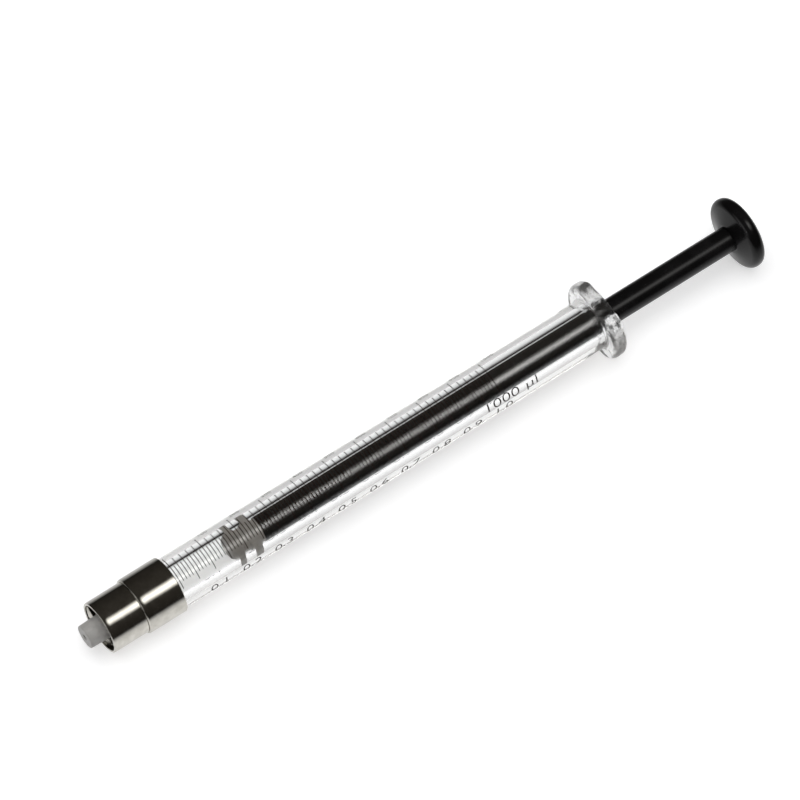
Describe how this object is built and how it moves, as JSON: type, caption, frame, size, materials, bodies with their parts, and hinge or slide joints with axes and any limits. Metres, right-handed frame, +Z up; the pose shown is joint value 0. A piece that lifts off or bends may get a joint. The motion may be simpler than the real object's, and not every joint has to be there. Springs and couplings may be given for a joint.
{
  "type": "microsyringe",
  "caption": "Glass syringe with a fine volume scale, a metal luer lock end with a PTFE tip, and a sliding plunger with a round knob.",
  "frame": {"origin": "centre of the bounding box's bottom: on the surface it lies on, below the middle of the syringe", "axes": "+X along the syringe from the luer tip to the knob, +Z up from the surface it lies on, +Y across it"},
  "size_m": [0.128, 0.0136, 0.0125],
  "materials": {
    "borosilicate_glass": "polished clear glass",
    "fired_ink": "black ink fired on the glass",
    "ptfe": "white, slightly waxy",
    "nickel_plate": "bright nickel plate on turned brass",
    "cement": "cured epoxy",
    "black_anodised": "black anodised, satin"
  },
  "bodies": {
    "barrel": {"barrel": "borosilicate_glass", "graduations": "fired_ink", "luer_tip": "ptfe", "luer_lock_shell": "nickel_plate", "barrel_ferrule": "nickel_plate", "ferrule_cement": "cement"},
    "plunger": {"plunger_seal": "ptfe", "plunger_rod": "black_anodised", "plunger_knob": "black_anodised"}
  },
  "joints": [
    {"name": "plunger_slide", "type": "slide", "parent": "barrel", "child": "plunger", "axis": [1, 0, 0], "range_m": [-0.0099, 0.05005]}
  ]
}
